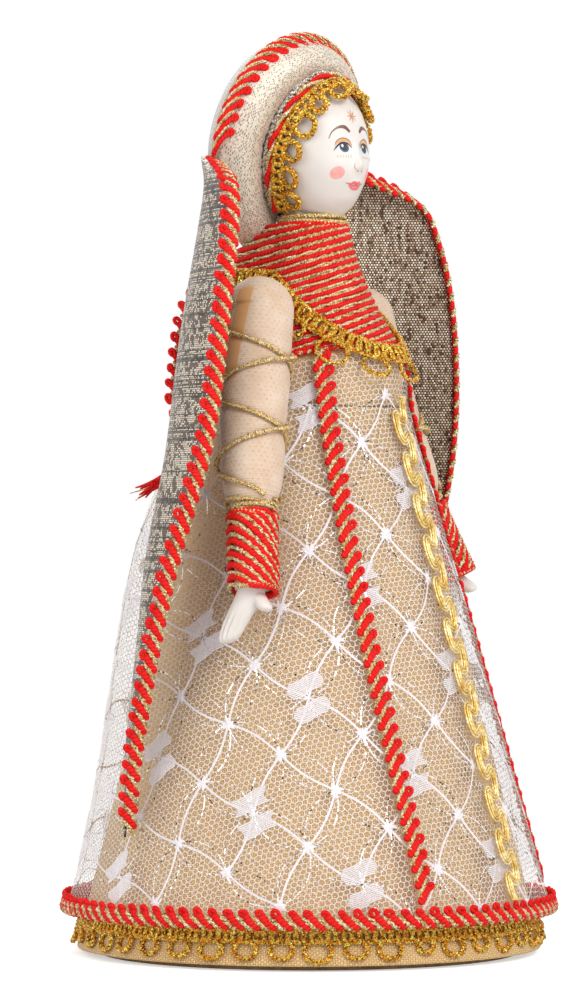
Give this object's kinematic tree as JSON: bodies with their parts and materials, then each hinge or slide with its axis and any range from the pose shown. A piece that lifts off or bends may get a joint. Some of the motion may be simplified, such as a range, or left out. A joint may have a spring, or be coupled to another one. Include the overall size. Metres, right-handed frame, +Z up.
{
  "type": "folk costume doll",
  "caption": "Standing porcelain doll in folk costume on a conical lace skirt, with a round padded headdress, hanging wing panels and padded arms that swing at the shoulders.",
  "frame": {"origin": "centre of the base board's underside, on the table", "axes": "+Z up, the doll faces -Y, its right hand is on the -X side"},
  "size_m": [0.1384, 0.1376, 0.2562],
  "materials": {
    "card": "plain",
    "stick_wood": "raw",
    "wire": "drawn",
    "beige_satin": "woven",
    "white_lace": "net",
    "red_gold_braid": "braided",
    "gold_lurex": "metallic thread",
    "pale_gold_gimp": "metallic thread",
    "padding": "padded",
    "sleeve_cloth": "knitted",
    "porcelain": "bisque",
    "silver_lame": "metallic weave",
    "white_lining": "satin",
    "dark_lame": "metallic weave"
  },
  "bodies": {
    "figure": {"base_board": "card", "skirt_cone": "card", "stick_foot": "stick_wood", "waist_plug": "stick_wood", "core_stick": "stick_wood", "underskirt": "beige_satin", "lace_overskirt": "white_lace", "hem_braid": "red_gold_braid", "foot_lace": "gold_lurex", "right_front_braid": "red_gold_braid", "left_front_braid": "red_gold_braid", "front_gimp": "pale_gold_gimp", "bodice": "padding", "yoke_cord": "red_gold_braid", "collar_lace": "gold_lurex", "neck_cord": "gold_lurex", "shoulder_pins": "wire", "head": "porcelain", "hair_lace": "gold_lurex", "head_cords": "red_gold_braid", "headdress_board": "card", "headdress_pad": "silver_lame", "headdress_lining": "white_lining", "headdress_braid": "red_gold_braid", "right_wing": "dark_lame", "left_wing": "dark_lame", "right_wing_braid": "red_gold_braid", "left_wing_braid": "red_gold_braid"},
    "right_arm": {"right_sleeve": "sleeve_cloth", "right_lacing": "gold_lurex", "right_cuff_cord": "red_gold_braid", "right_arm_wire": "wire", "right_hand": "porcelain"},
    "left_arm": {"left_sleeve": "sleeve_cloth", "left_lacing": "gold_lurex", "left_cuff_cord": "red_gold_braid", "left_arm_wire": "wire", "left_hand": "porcelain"}
  },
  "joints": [
    {"name": "right_shoulder", "type": "hinge", "parent": "figure", "child": "right_arm", "pos_m": [-0.033, -0.0055, 0.176], "axis": [-1, 0, 0], "range_deg": [0, 90]},
    {"name": "left_shoulder", "type": "hinge", "parent": "figure", "child": "left_arm", "pos_m": [0.033, 0.0035, 0.176], "axis": [-1, 0, 0], "range_deg": [0, 90]}
  ]
}
